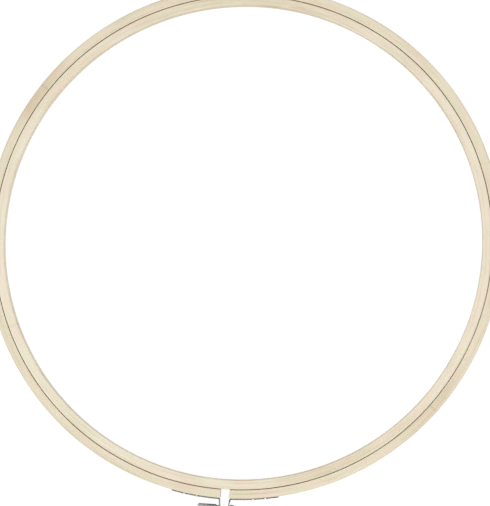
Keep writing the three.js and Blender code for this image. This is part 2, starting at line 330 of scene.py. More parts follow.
class Shader:
    """A material's node tree, built up call by call."""

    def __init__(self, name):
        self.material = bpy.data.materials.new(name)
        self.material.use_nodes = True
        self.tree = self.material.node_tree
        self.tree.nodes.clear()

    def node(self, kind, inputs, **settings):
        made = self.tree.nodes.new(kind)
        for setting, value in settings.items():
            setattr(made, setting, value)
        for socket, value in inputs.items():
            if isinstance(value, bpy.types.NodeSocket):
                self.tree.links.new(value, made.inputs[socket])
            else:
                made.inputs[socket].default_value = value
        return made

    def attribute(self, name, output="Fac"):
        return self.node("ShaderNodeAttribute", {}, attribute_name=name).outputs[output]

    def position(self):
        return self.node("ShaderNodeTexCoord", {}).outputs["Object"]

    def math(self, operation, *values):
        return self.node("ShaderNodeMath", dict(enumerate(values)), operation=operation).outputs[0]

    def times(self, first, second):
        return self.math("MULTIPLY", first, second)

    def plus(self, total, value, weight):
        """The total with a weighted value added."""
        return self.math("MULTIPLY_ADD", value, weight, total)

    def minus(self, first, second):
        return self.math("SUBTRACT", first, second)

    def absolute(self, value):
        return self.math("ABSOLUTE", value)

    def split(self, vector):
        return self.node("ShaderNodeSeparateXYZ", {0: vector}).outputs

    def join(self, x, y, z):
        return self.node("ShaderNodeCombineXYZ", {0: x, 1: y, 2: z}).outputs[0]

    def scaled(self, vector, factors, offset=(0, 0, 0)):
        inputs = {0: vector, 1: factors, 2: offset}
        return self.node("ShaderNodeVectorMath", inputs, operation="MULTIPLY_ADD").outputs[0]

    def noise(self, vector, detail=2.0, roughness=0.5, distortion=0.0):
        inputs = {"Vector": vector, "Scale": 1.0, "Detail": detail, "Roughness": roughness,
                  "Distortion": distortion}
        return self.node("ShaderNodeTexNoise", inputs).outputs[0]

    def fibres(self, grain, seed, length, width, detail, roughness=0.5, distortion=0.0):
        """Noise drawn out along the grain; length and width are its own size in millimetres."""
        place = self.scaled(grain, (1 / length, 1 / width, 1 / width), seed)
        return self.noise(place, detail, roughness, distortion)

    def fade(self, value, start, end, low=0.0, high=1.0):
        """A smooth step of value: low at start, high at end."""
        inputs = {"Value": value, "From Min": start, "From Max": end, "To Min": low, "To Max": high}
        return self.node("ShaderNodeMapRange", inputs, interpolation_type="SMOOTHSTEP").outputs[0]

    def mix(self, amount, first, second, blend="MIX"):
        inputs = {0: amount, 6: first, 7: second}
        return self.node("ShaderNodeMix", inputs, data_type="RGBA", blend_type=blend).outputs[2]

    def ramp(self, value, stops):
        made = self.node("ShaderNodeValToRGB", {0: value})
        elements = made.color_ramp.elements
        elements[0].position, elements[0].color = stops[0]
        elements[1].position, elements[1].color = stops[-1]
        for place, colour in stops[1:-1]:
            elements.new(place).color = colour
        return made.outputs[0]

    def bump(self, height, distance, strength=1.0):
        inputs = {"Strength": strength, "Distance": distance, "Height": height}
        return self.node("ShaderNodeBump", inputs).outputs[0]

    def surface(self, **inputs):
        """The finished material, from a principled shader with these inputs."""
        named = {name.replace("_", " "): value for name, value in inputs.items()}
        shader = self.node("ShaderNodeBsdfPrincipled", named)
        self.node("ShaderNodeOutputMaterial", {"Surface": shader.outputs[0]})
        return self.material


def weighted(shader, terms):
    """The sum of (value, weight, value's own middle) terms, so that each term only moves the sum about 0."""
    total = 0.0
    for value, weight, middle in terms:
        centred = shader.minus(value, middle)
        total = shader.plus(total, centred, weight)
    return total


def turned_from(shader, cosine, sine, angle):
    """The cosine and sine of a direction as counted from this angle."""
    toward = (math.cos(angle), math.sin(angle))
    front = shader.plus(shader.times(sine, toward[1]), cosine, toward[0])
    side = shader.plus(shader.times(cosine, -toward[1]), sine, toward[0])
    return front, side


def strip_run(shader, joint_angle, joint_slant):
    """A place's mm along a bent strip, depth, height, its angle's cosine and sine, and mm from the joint.

    The count along starts again at the joint, so the grain of the two ends doesn't meet. joint_slant is how
    far the joint moves along the ring for each millimetre of depth.
    """
    cosine, sine, depth = shader.split(shader.attribute("strip", "Vector"))
    height = shader.attribute("height")
    along, across = turned_from(shader, cosine, sine, joint_angle)
    radius = inner_outside / MM
    arc = shader.times(shader.math("ARCTAN2", across, along), radius)
    line = shader.times(shader.minus(depth, INNER_WALL / MM / 2), joint_slant)
    from_joint = shader.minus(arc, line)
    before = shader.math("LESS_THAN", from_joint, 0.0)
    run = shader.plus(arc, before, FULL_TURN * radius)
    return run, depth, height, cosine, sine, from_joint


def band(shader, cosine, sine, angle, half_length, wobble):
    """1 in the middle of a stretch of the ring about this angle, 0 past its ends, which wobble."""
    front, side = turned_from(shader, cosine, sine, angle)
    away = shader.times(side, inner_outside / half_length)
    bent = shader.math("ADD", away, wobble)
    near = shader.fade(shader.absolute(bent), 0.35, 1.15, 1.0, 0.0)
    return shader.times(near, shader.math("GREATER_THAN", front, 0.0)), bent


def add_side_shade(shader, darkness, depth, height, sides):
    """The darkness with painted shade added on a strip's sides, where the two rings meet and on the inner
    ring's inside face. The shade is weaker half way up.
    """
    half_height = ring_height / MM / 2
    from_middle = shader.absolute(shader.minus(height, half_height))
    near_rims = shader.fade(from_middle, half_height * 0.2, half_height * 0.8, SIDE_SHADE_MIDDLE, 1.0)
    for start, full, amount in sides:
        side = shader.times(shader.fade(depth, start, full), near_rims)
        darkness = shader.plus(darkness, side, amount)
    return darkness


def darker_knots(shader, darkness, cosine, sine, knots, wobble):
    """The darkness with the knots' thin lines added, and the ridge that they make."""
    ridge = 0.0
    for angle in knots:
        half_wobble = shader.times(wobble, 0.5)
        knot, bent = band(shader, cosine, sine, math.radians(angle), KNOT_HALF_LENGTH, half_wobble)
        line = shader.fade(shader.absolute(bent), 0.08, 0.35, 1.0, 0.0)
        line = shader.times(knot, line)
        darkness = shader.plus(darkness, line, KNOT_DARKNESS)
        ridge = shader.math("ADD", line, ridge)
    return darkness, ridge


def wood_colour(shader, tones, darkness, hue, pores):
    """The tone at this darkness, warmer here and cooler there, or on a sawn end the end grain's colour, made
    paler as painted light.
    """
    level = shader.math("ADD", darkness, 0.5)
    colour = shader.ramp(level, tones)
    warm = shader.mix(shader.fade(hue, 0.36, 0.64), paint(255, 248, 244), paint(250, 252, 243))
    colour = shader.mix(1.0, colour, warm, "MULTIPLY")
    # The sawn ends: the wood's pale end grain, made near white as painted light on these shaded faces.
    end_grain_lit = shader.mix(shader.fade(pores, 0.45, 0.70), paint(255, 249, 240), paint(236, 221, 200))
    return shader.mix(shader.attribute("sawn"), colour, end_grain_lit)


def bamboo(name, tones, joint_angle, joint_slant, patches, knots, sides, seed):
    """Sanded bamboo bent into a ring: long fibres, soft stripes, darker and paler patches that are partly
    painted light, and the culm's knots.

    patches are (degrees from +X, half length in metres, how much darker, less than 0 for paler). knots are
    degrees from +X. sides are the strip's sides with painted shade on them, each as the depths in mm at which
    the shade starts and is full, and how dark it gets.
    """
    shader = Shader(name)
    run, depth, height, cosine, sine, from_joint = strip_run(shader, joint_angle, joint_slant)
    grain = shader.join(run, depth, height)
    mottle = shader.fibres(grain, seed, 16, 5, 2.0)
    stripe = shader.fibres(grain, seed, 70, 1.3, 2.0, 0.55, 0.3)
    streak = shader.fibres(grain, seed, 24, 0.42, 2.0, 0.6)
    fibre = shader.fibres(grain, seed, 9, 0.13, 1.0)
    bundle = shader.fade(shader.fibres(grain, seed, 4.5, 0.24, 1.0), 0.62, 0.74)
    hue = shader.fibres(grain, (seed[2], seed[0], seed[1]), 13, 4, 2.0)
    pores = shader.fibres(grain, seed, 3, 0.14, 1.0)
    wobble = shader.times(shader.minus(streak, 0.5), 1.6)

    darkness = weighted(shader, [(mottle, 0.34, 0.5), (stripe, 0.50, 0.5), (streak, 0.38, 0.5),
                                 (fibre, 0.12, 0.5), (bundle, 0.08, 0.1)])
    # Darker and paler stretches round the ring: partly the wood's own tone, partly painted light.
    for angle, half_length, amount in patches:
        patch, _ = band(shader, cosine, sine, math.radians(angle), half_length, wobble)
        darkness = shader.plus(darkness, patch, amount)
    # Painted shade on the faces where the rings meet and on the inner ring's inside face.
    darkness = add_side_shade(shader, darkness, depth, height, sides)
    darkness, ridge = darker_knots(shader, darkness, cosine, sine, knots, wobble)
    if joint_slant:
        glue = shader.fade(shader.absolute(from_joint), 0.15, 0.45, 1.0, 0.0)
        darkness = shader.plus(darkness, glue, GLUE_DARKNESS)
    worn = shader.times(shader.attribute("edge"), shader.fade(mottle, 0.42, 0.62))
    darkness = shader.plus(darkness, worn, WORN_DARKNESS)

    relief = weighted(shader, [(fibre, 0.5, 0.5), (streak, 0.35, 0.5), (bundle, -0.5, 0.0)])
    relief = shader.math("ADD", relief, ridge) if knots else relief
    return shader.surface(
        Base_Color=wood_colour(shader, tones, darkness, hue, pores),
        Roughness=shader.fade(streak, 0.3, 0.7, 0.52, 0.68),
        Normal=shader.bump(relief, 0.00005, 0.7),
    )


# The dark tone mixed in by the "recess" numbers: painted shade in the screw's and nut's hollows and on the
# knob next to the ear, and a darkening in the strips' bends and on the pins' shanks.
RECESS_DARK = paint(62, 60, 56)
# The colour of painted highlights, glints on the strips' edges where they cross the pins.
GLINT_TONE = paint(238, 238, 236)
TARNISH = paint(122, 112, 94)


def steel(name, light, dark, edge_tone, recess_darkening, rough, lay, edge_start=0.0, edge_amount=0.8,
          glint_places=()):
    """Dull nickel-plated steel. lay gives how the tool marks lie: the stretch of the "marks" coordinates.

    edge_start is the "edge" number at which the edge's own tone begins, and the next argument how strong it
    gets. The edge tone is partly painted light: on the strips' cut edges painted shade with the steel's
    darker cut, on the knurl's diamond tops a painted highlight with their wear.
    The last argument gives painted highlights, glints on the strip's edges where they cross its pins: (mm
    along, half length in mm, amount).
    """
    shader = Shader(name)
    place = shader.scaled(shader.position(), (1000, 1000, 1000))
    cloud = shader.noise(shader.scaled(place, (0.35, 0.35, 0.35)), 3.0, 0.6)
    grit = shader.noise(shader.scaled(place, (7, 7, 7)), 2.0, 0.6)
    marks = shader.noise(shader.scaled(shader.attribute("marks", "Vector"), lay), 3.0, 0.65)
    scratch = shader.fade(marks, 0.60, 0.74)
    recess = shader.attribute("recess")
    edge = shader.fade(shader.attribute("edge"), edge_start, 1.0)

    shine = weighted(shader, [(cloud, 0.8, 0.5), (grit, 0.25, 0.5), (marks, 0.5, 0.5)])
    shine = shader.math("ADD", shine, 0.6)
    colour = shader.mix(shader.fade(shine, 0.1, 1.0), dark, light)
    # The edge tone: on the strips a dark cut edge with painted shade, on the knurl's tops a worn brightness
    # with a painted highlight.
    colour = shader.mix(shader.times(edge, edge_amount), colour, edge_tone)
    # Darker by the "recess" numbers: painted shade on the screw and nut, a darkening on the strips and pins.
    colour = shader.mix(shader.times(recess, recess_darkening), colour, RECESS_DARK)
    along = shader.split(shader.attribute("marks", "Vector"))[0] if glint_places else None
    # Painted highlights: glints on the edges at these places along the strip.
    for middle, half_length, amount in glint_places:
        away = shader.absolute(shader.minus(along, middle))
        near = shader.fade(away, half_length * 0.5, half_length * 1.5, amount, 0.0)
        colour = shader.mix(shader.times(near, edge), colour, GLINT_TONE)
    stain = shader.noise(shader.scaled(place, (0.9, 0.9, 0.9), (7.7, 3.1, 5.9)), 4.0, 0.7)
    tarnish = shader.fade(stain, 0.60, 0.74)
    colour = shader.mix(shader.times(tarnish, 0.35), colour, TARNISH)

    roughness = weighted(shader, [(cloud, 0.30, 0.5), (grit, 0.15, 0.5), (recess, 0.25, 0.0),
                                  (edge, -0.08, 0.0), (scratch, 0.15, 0.0), (tarnish, 0.15, 0.0)])
    relief = weighted(shader, [(marks, 0.7, 0.5), (grit, 0.35, 0.5), (scratch, -0.4, 0.0)])
    return shader.surface(
        Base_Color=colour,
        Metallic=1.0,
        Roughness=shader.math("ADD", roughness, rough),
        Normal=shader.bump(relief, 0.00002, 0.6),
    )


# Rings

def ring_section(wall, outer_edge, inner_edge, bulge_side):
    """A section's points as (depth from the outer face, height), and how near each is to a rounded edge.

    The face at the gap between the rings bulges towards the other ring. bulge_side is 0 where that face is
    the one at depth 0, and 1 where it is the other.
    """
    corners = ((wall - inner_edge, inner_edge, inner_edge),
               (wall - inner_edge, ring_height - inner_edge, inner_edge),
               (outer_edge, ring_height - outer_edge, outer_edge),
               (outer_edge, outer_edge, outer_edge))
    points, edges = [], []
    for n, (depth, height, rounding) in enumerate(corners):
        for i in range(EDGE_STEPS + 1):
            angle = math.radians(-90 + 90 * n + 90 * i / EDGE_STEPS)
            points.append((depth + rounding * math.cos(angle), height + rounding * math.sin(angle)))
            edges.append(math.sin(math.pi * i / EDGE_STEPS))
        start = points[-1]
        depth, height, rounding = corners[(n + 1) % 4]
        turned = math.radians(90 * n)
        end = (depth + rounding * math.cos(turned), height + rounding * math.sin(turned))
        bulge = {0: bulge_side, 2: bulge_side - 1}.get(n, 0) * GAP_BULGE
        for i in range(1, FACE_STEPS):
            share = i / FACE_STEPS
            out = bulge * (1 - (2 * share - 1) ** 2)
            points.append((start[0] + (end[0] - start[0]) * share + out,
                           start[1] + (end[1] - start[1]) * share))
            edges.append(0.0)
    return np.array(points), np.array(edges)


def end_angle(radius):
    """The angle from the middle of the split to the wood's end, at this radius."""
    return np.arcsin(SPLIT_WIDTH / 2 / radius)


def sanding(angle, depth, height, seed):
    """How far a strip's surface stands back from its true form, never outwards."""
    place = Vector((9 * math.cos(angle), 9 * math.sin(angle), seed + 300 * depth + 120 * height))
    return SANDING * (0.5 + 0.5 * noise.noise(place))


def bend_strip(name, outside, wall, section_form, shares, insets, closed, seed):
    """A strip bent round the oval: a section at each share of its length, drawn in by its inset."""
    section, edges = ring_section(wall, *section_form)
    middle = np.array((wall / 2, ring_height / 2))
    points, strip, heights, edge, sawn = [], [], [], [], []
    for share, inset in zip(shares, insets):
        drawn = middle + (section - middle) * (1 - 2 * inset / np.array((wall, ring_height)))
        for (depth, height), nearness in zip(drawn, edges):
            mean = outside - depth
            end = 0.0 if closed else end_angle(ring_radius(mean, SPLIT_ANGLE))
            angle = SPLIT_ANGLE + end + (FULL_TURN - 2 * end) * share
            back = sanding(angle, depth, height, seed)
            lean = middle - (depth, height)
            lean = lean / np.linalg.norm(lean)
            radius = ring_radius(mean - lean[0] * back, angle)
            points.append((ring_centre.x + radius * math.cos(angle), ring_centre.y + radius * math.sin(angle),
                           height + lean[1] * back))
            strip.append((math.cos(angle), math.sin(angle), depth / MM))
            heights.append(height / MM)
            edge.append(nearness)
            sawn.append(1.0 if inset > SAWN_EDGE * 0.9 else 0.0)
    count = len(section)
    rows = [list(range(n * count, (n + 1) * count)) for n in range(len(shares))]
    faces = skin(rows + rows[:1]) if closed else skin(rows) + [rows[0], rows[-1]]
    built = mesh_object(name, points, faces, 40)
    set_vectors(built, "strip", strip)
    set_numbers(built, "height", heights)
    set_numbers(built, "edge", edge)
    set_numbers(built, "sawn", sawn)
    return built


def inner_ring():
    shares = [i / RING_STEPS for i in range(RING_STEPS)]
    return bend_strip("inner_ring_bamboo", inner_outside, INNER_WALL, (GAP_EDGE, RIM_EDGE, 0), shares,
                      [0.0] * RING_STEPS, True, 3.0)


def outer_ring():
    """The outer ring, its two sawn ends at the split with softened edges."""
    length = FULL_TURN * outer_outside
    turns = [math.radians(90 * i / 3) for i in range(4)]
    starts = [SAWN_EDGE * (1 - math.cos(turn)) / length for turn in turns]
    drawn = [SAWN_EDGE * (1 - math.sin(turn)) for turn in turns]
    between = [i / RING_STEPS for i in range(1, RING_STEPS)]
    shares = starts + between + [1 - share for share in reversed(starts)]
    insets = drawn + [0.0] * len(between) + drawn[::-1]
    return bend_strip("outer_ring_bamboo", outer_outside - OUTSIDE_SPARE, OUTER_WALL - OUTSIDE_SPARE,
                      (RIM_EDGE, GAP_EDGE, 1), shares, insets, False, 8.0)


# The clamp's strips

def bracket_line(side):
    """The middle line of a strip and its ear, seen from above, from the far end to past the ear's tip."""
    bend_radius = BEND_RADIUS + SHEET / 2
    bend_x = SPLIT_WIDTH / 2 + SHEET / 2 + bend_radius
    mean = outer_outside + SEAT_GAP + SHEET / 2
    far = SPLIT_ANGLE + side * (SPLIT_WIDTH / 2 + STRIP_LENGTH) / outer_outside
    near = SPLIT_ANGLE + side * math.asin(bend_x / ring_radius(mean, SPLIT_ANGLE))
    line = []
    for i in range(ARC_STEPS + 1):
        angle = far + (near - far) * i / ARC_STEPS
        radius = ring_radius(mean, angle)
        line.append(Vector((radius * math.cos(angle), radius * math.sin(angle))))
    bend_y = line[-1].y - bend_radius
    for i in range(1, BEND_STEPS + 1):
        turned = (math.radians(90) - EAR_LEAN) * i / BEND_STEPS
        line.append(Vector((side * (bend_x - bend_radius * math.sin(turned)),
                            bend_y + bend_radius * math.cos(turned))))
    ear = Vector((-side * math.sin(EAR_LEAN), -math.cos(EAR_LEAN)))
    line.append(line[-1] + ear * STRIP_WIDTH * 2)
    return [point + ring_centre.xy for point in line]


class Path:
    """A line seen from above, with the length along it at each of its points."""

    def __init__(self, line):
        self.line = line
        self.lengths = [0.0]
        for before, after in zip(line, line[1:]):
            self.lengths.append(self.lengths[-1] + (after - before).length)

    def at(self, length):
        for n in range(1, len(self.line)):
            if length <= self.lengths[n] or n == len(self.line) - 1:
                share = (length - self.lengths[n - 1]) / (self.lengths[n] - self.lengths[n - 1])
                return self.line[n - 1].lerp(self.line[n], share)

    def length_at_y(self, y):
        """Where the last straight stretch comes down to this y."""
        before, after = self.line[-2:]
        share = (y - before.y) / (after.y - before.y)
        return self.lengths[-2] + share * (after - before).length


def hole_patch(start, end, hole, radius, round_end=False):
    """Rows of (along, across) points from a hole's rim out to the patch's outline, all of the same length."""
    half = STRIP_WIDTH / 2
    sides = len(ACROSS) - 1
    outline = []
    lengthwise = sides // 2 if round_end else sides
    for i in range(lengthwise):
        outline.append((start + (end - start) * i / lengthwise, -half))
    if round_end:
        for i in range(2 * sides):
            angle = math.radians(-90 + 180 * i / (2 * sides))
            outline.append((end + half * math.cos(angle), half * math.sin(angle)))
    else:
        outline += [(end, half * across) for across in ACROSS[:-1]]
    for i in range(lengthwise):
        outline.append((end + (start - end) * i / lengthwise, half))
    outline += [(start, half * across) for across in reversed(ACROSS[1:])]
    rows = []
    for share in AROUND_HOLE:
        row = []
        for along, across in outline:
            away = Vector((along - hole, across))
            rim = away.normalized() * radius
            row.append((hole + rim.x + (away.x - rim.x) * share, rim.y + (away.y - rim.y) * share))
        rows.append(row)
    return rows


def plate_rows(path, ear_centre):
    """The strip laid flat: lists of rows of (along, across) points, and whether the rows are closed loops."""
    half = STRIP_WIDTH / 2
    cap = []
    for i in range(ROUND_STEPS + 1):
        angle = math.radians(90 * i / ROUND_STEPS)
        cap.append([(half * (1 - math.cos(angle)), half * across * math.sin(angle)) for across in ACROSS])
    far_pin, near_pin = PIN_PLACES
    between = far_pin + PIN_SPACING / 2
    plain_start = near_pin + PIN_SPACING / 2
    pin_hole = PIN_DIAMETER / 2 + HOLE_CLEARANCE
    bend_start = path.lengths[ARC_STEPS]
    stops = list(np.linspace(plain_start, bend_start, PLAIN_STEPS + 1))
    stops += path.lengths[ARC_STEPS + 1:ARC_STEPS + BEND_STEPS + 1]
    stops += list(np.linspace(stops[-1], ear_centre - half, EAR_STEPS + 1))[1:]
    plain = [[(along, half * across) for across in ACROSS] for along in stops]
    screw_hole = screw_radius + SCREW_CLEARANCE
    return [
        (cap, False),
        (hole_patch(half, between, far_pin, pin_hole), True),
        (hole_patch(between, plain_start, near_pin, pin_hole), True),
        (plain, False),
        (hole_patch(ear_centre - half, ear_centre, ear_centre, screw_hole, round_end=True), True),
    ]


def sheet(name, path, ear_centre):
    """The strip's middle surface bent along its path, and its points as (along, across)."""
    flat, faces = [], []
    for rows, closed in plate_rows(path, ear_centre):
        faces += skin([add_row(flat, row) for row in rows], closed)
    points = []
    for along, across in flat:
        place = path.at(along)
        points.append((place.x, place.y, ring_centre.z + across))
    return add_mesh(name, points, faces), flat


def thicken(built):
    """Gives a sheet its thickness and its rounded edges."""
    thickness = built.modifiers.new("thickness", "SOLIDIFY")
    thickness.thickness = SHEET
    thickness.offset = 0.0
    thickness.use_even_offset = True
    rounding = built.modifiers.new("rounding", "BEVEL")
    rounding.width = SHEET_EDGE
    rounding.segments = 3
    rounding.limit_method = "ANGLE"
    rounding.angle_limit = math.radians(50)
    apply_modifiers(built)
    weld(built)


def bracket(name, side, darkening):
    """A strip with its ear. The last argument is how much darker the strip is made in and next to its bend.
    """
    path = Path(bracket_line(side))
    ear_centre = path.length_at_y(screw_axis.y)
    built, flat = sheet(name, path, ear_centre)
    set_vectors(built, "marks", [(along / MM, across / MM, 0.0) for along, across in flat])
    # The strip is made darker in and next to its bend.
    dark_from = path.lengths[ARC_STEPS] - DARK_BEFORE_BEND
    dark_to = path.lengths[ARC_STEPS + BEND_STEPS] + DARK_PAST_BEND
    set_numbers(built, "recess", [darkening if dark_from < along < dark_to else 0.0 for along, _ in flat])
    weld(built)
    thicken(built)
    set_numbers(built, "edge", rim_nearness(built, ear_centre))
    shade(built, 35)
    return built


def rim_nearness(built, ear_centre):
    """For each point of a strip, from 0 on its middle line to 1 at its rim. Both of its ends are round."""
    half = STRIP_WIDTH / 2 / MM
    numbers = []
    for mark in built.data.attributes["marks"].data:
        along, across, _ = mark.vector
        past_end = max(half - along, along - ear_centre / MM, 0.0)
        numbers.append(math.hypot(past_end, across) / half)
    return numbers


def mark_edges(built):
    """Gives each point an "edge" number: how sharply the surface turns outwards there."""
    clean = bmesh.new()
    clean.from_mesh(built.data)
    turns = [max((edge.calc_face_angle_signed(0.0) for edge in point.link_edges), default=0.0)
             for point in clean.verts]
    clean.free()
    set_numbers(built, "edge", [clamp((turn - NUT_EDGE_TURN) / NUT_EDGE_FADE) for turn in turns])


# Pins

def pin(name, side, from_end):
    """A pin with a low domed head, its shank through the strip and into the wood."""
    strip_outside = outer_outside + SEAT_GAP + SHEET
    shank = SEAT_GAP + strip_outside - outer_inside - WOOD_UNDER_PIN
    shank_radius, head_radius = PIN_DIAMETER / 2, PIN_HEAD_DIAMETER / 2
    profile = [(-shank, 0.0), (-shank, shank_radius * 0.55), (-shank * 0.86, shank_radius),
               (0.0, shank_radius), (0.0, head_radius - PIN_LIP * 0.5), (PIN_LIP * 0.5, head_radius)]
    for i in range(1, DOME_STEPS):
        angle = math.radians(90 * i / DOME_STEPS)
        height = PIN_LIP + (PIN_HEAD_HEIGHT - PIN_LIP) * math.sin(angle)
        profile.append((height, head_radius * math.cos(angle)))
    profile.append((PIN_HEAD_HEIGHT, 0.0))
    points, faces = lathe(profile, PIN_SIDES)
    arc = SPLIT_WIDTH / 2 + STRIP_LENGTH - from_end
    angle = SPLIT_ANGLE + side * arc / outer_outside
    radius = ring_radius(strip_outside + SEAT_GAP, angle)
    seat = Vector((radius * math.cos(angle), radius * math.sin(angle), 0)) + ring_centre
    turn = Matrix.Translation(seat) @ Matrix.Rotation(angle, 4, "Z")
    built = mesh_object(name, [turn @ Vector(point) for point in points], faces, 40)
    mark_turned(built, points)
    set_numbers(built, "edge", [1.0 if 0 < along < 2 * PIN_LIP else 0.0 for along, _, _ in points])
    set_numbers(built, "recess", [PIN_SHANK_DARKENING if along <= 0 else 0.0 for along, _, _ in points])
    return built


# The thumb screw, built about the X axis with the knob's face towards the ear at 0 and the shank towards +X

def knurl(column, row):
    """How deep the diamond knurl is, from 0 at a diamond's top to 1 in a groove, in steps of its own grid."""
    pitch = 2 * KNURL_STEPS
    grooves = [1 - 2 * abs((place / pitch) % 1 - 0.5) for place in (column + row, column - row)]
    return max(0.0, (max(grooves) - KNURL_FLAT) / (1 - KNURL_FLAT))


def knob_rows():
    """The knob's rows of points, each as (along, radius at each column, recess at each column)."""
    columns = 2 * KNURL_RIDGES * KNURL_STEPS
    bottom, top = -KNOB_LENGTH + KNOB_CHAMFER, -COLLAR_LENGTH
    half_diamonds = 2 * round((top - bottom) * KNURL_RIDGES / (math.tau * knob_radius))
    count = half_diamonds * KNURL_STEPS
    face = knob_radius - KNOB_CHAMFER
    turned_face = [(-KNOB_LENGTH, knob_radius * share) for share in KNOB_FACE_RINGS]
    turned_face += [(-KNOB_LENGTH, face - TURNED_EDGE), (-KNOB_LENGTH + TURNED_EDGE / 2, face)]
    rows = [(along, [radius] * columns, [0.0] * columns) for along, radius in turned_face]
    for row in range(count + 1):
        along = bottom + (top - bottom) * row / count
        depths = [knurl(column, row) for column in range(columns)]
        limit = knob_radius - max(0.0, 2 * TURNED_EDGE - (top - along)) * 0.8
        radii = [min(limit, knob_radius - KNURL_DEPTH * depth) for depth in depths]
        # Painted shade in the knurl's grooves.
        rows.append((along, radii, [GROOVE_SHADE * depth ** 2 for depth in depths]))
    collar = knob_radius - COLLAR_INSET
    # The collar next to the ear, with painted shade on it.
    turned_collar = [
        (top, collar, 1.0),
        (top + TURNED_EDGE, collar, COLLAR_SHADE),
        (-4 * TURNED_EDGE, collar, COLLAR_SHADE),
        (-TURNED_EDGE, collar, COLLAR_SHADE),
        (-0.3 * TURNED_EDGE, collar - 0.3 * TURNED_EDGE, 0.0),
        (0.0, collar - TURNED_EDGE, 0.0),
        (0.0, screw_radius + COLLAR_SEAT, 0.0),
    ]
    return rows + [(along, [radius] * columns, [recess] * columns) for along, radius, recess in turned_collar]


def thread_radius(along, angle, crest, root):
    """The radius of a right-hand thread, its crest at along 0 where the angle is 0."""
    phase = (along / THREAD_PITCH - angle / FULL_TURN) % 1
    away = min(phase, 1 - phase)
    return crest - (crest - root) * clamp((away - CREST_HALF) / FLANK)


def threaded_surface(start, end, profile):
    """Rows of points on a helical surface. Past its two ends the rows gather on them, to be welded there."""
    spare = THREAD_ROWS * 2
    first = math.floor(start / THREAD_PITCH * THREAD_ROWS) - spare
    last = math.ceil(end / THREAD_PITCH * THREAD_ROWS) + spare
    points, faces = [], []
    for row in range(first, last + 1):
        for column in range(THREAD_SIDES):
            along = THREAD_PITCH * (row / THREAD_ROWS + column / THREAD_SIDES)
            along = min(max(along, start), end)
            angle = FULL_TURN * column / THREAD_SIDES
            points.append(around_x(along, profile(along, angle), angle))
    rows = last - first + 1
    for row in range(rows):
        for column in range(THREAD_SIDES):
            beside = (column + 1) % THREAD_SIDES
            shift = THREAD_ROWS if beside == 0 else 0
            if row + 1 + shift < rows:
                faces.append((row * THREAD_SIDES + column, (row + shift) * THREAD_SIDES + beside,
                              (row + shift + 1) * THREAD_SIDES + beside, (row + 1) * THREAD_SIDES + column))
    return points, faces


def screw_profile(length):
    """The shank's radius at each place of a length: its thread, and the cone at its tip."""
    def radius(along, angle):
        tip = root_radius - TURNED_EDGE + (length - along)
        return min(thread_radius(along, angle, screw_radius, root_radius), tip)
    return radius


def folded(quad, reach):
    """A flat quad as it is, else two triangles that meet along the diagonal nearer to the axis."""
    a, b, c, d = quad
    fold = reach[b] + reach[d] - reach[a] - reach[c]
    if abs(fold) < 1e-9:
        return [quad]
    if fold > 0:
        return [(a, b, c), (a, c, d)]
    return [(a, b, d), (b, c, d)]


def knob_surface():
    """The knob's points and faces, each point's recess and edge numbers, and the last row's point numbers."""
    rows = knob_rows()
    columns = len(rows[0][1])
    points, reach, recess, tops, numbered = [], [], [], [], []
    for along, radii, dark in rows:
        row = [around_x(along, radius, FULL_TURN * column / columns) for column, radius in enumerate(radii)]
        numbered.append(add_row(points, row))
        reach += radii
        # Painted shade and a painted dark reflection on the knob next to the ear.
        darkening = KNOB_EAR_SHADE * clamp((along + KNOB_EAR_SHADE_LENGTH) / KNOB_EAR_SHADE_FADE)
        recess += [max(darkness, darkening) for darkness in dark]
        # The diamonds' tops take the screw's paler edge tone, worn bright and partly a painted highlight,
        # with none of it in the painted shade next to the ear.
        tops += [max(0.0, 1 - 80 * darkness) * (1 - darkening) for darkness in dark]
    [centre] = add_row(points, [(-KNOB_LENGTH, 0, 0)])
    recess.append(0.0)
    tops.append(0.0)
    faces = [(centre, numbered[0][i], numbered[0][(i + 1) % columns]) for i in range(columns)]
    for quad in skin(numbered):
        faces += folded(quad, reach)
    return points, faces, recess, tops, numbered[-1]


def thumb_screw():
    """The knob and the threaded shank as one surface, with the driver slot cut into it."""
    length = screw_high.x - screw_low.x - KNOB_LENGTH
    points, faces, recess, tops, rim = knob_surface()
    first = len(points)
    helix, helix_faces = threaded_surface(0.0, length, screw_profile(length))
    points += helix
    depths = [(screw_radius - math.hypot(y, z)) / THREAD_DEPTH for _, y, z in helix]
    # Painted shade in the thread's roots.
    recess += [THREAD_SHADE * clamp(depth) for depth in depths]
    tops += [0.0] * len(helix)
    faces += [tuple(first + n for n in face) for face in helix_faces]
    each = len(rim) // THREAD_SIDES
    for column in range(THREAD_SIDES):
        beside = (column + 1) % THREAD_SIDES
        outside = [rim[(column * each + n) % len(rim)] for n in range(each + 1)]
        faces.append((*outside, first + beside, first + column))
    last = len(points) - THREAD_SIDES
    faces.append(tuple(range(last, last + THREAD_SIDES)))

    built = mesh_object("thumb_screw_turned", points, faces, 30)
    mark_turned(built, points)
    set_numbers(built, "recess", recess)
    set_numbers(built, "edge", tops)
    weld(built)
    cut_slot(built)
    built.data.transform(Matrix.Translation((screw_low.x + KNOB_LENGTH, screw_axis.y, screw_axis.z)))
    shade(built, 30)
    return built


def cut_slot(built):
    """The driver slot across the knob's end."""
    shape = bmesh.new()
    bmesh.ops.create_cube(shape, size=1.0)
    mesh = bpy.data.meshes.new("slot")
    shape.to_mesh(mesh)
    shape.free()
    mesh.transform(Matrix.Diagonal((2 * SLOT_DEPTH, SLOT_WIDTH, 3 * knob_radius, 1)))
    mesh.transform(Matrix.Translation((-KNOB_LENGTH, 0, 0)))
    cut_away(built, add_object("slot", mesh))


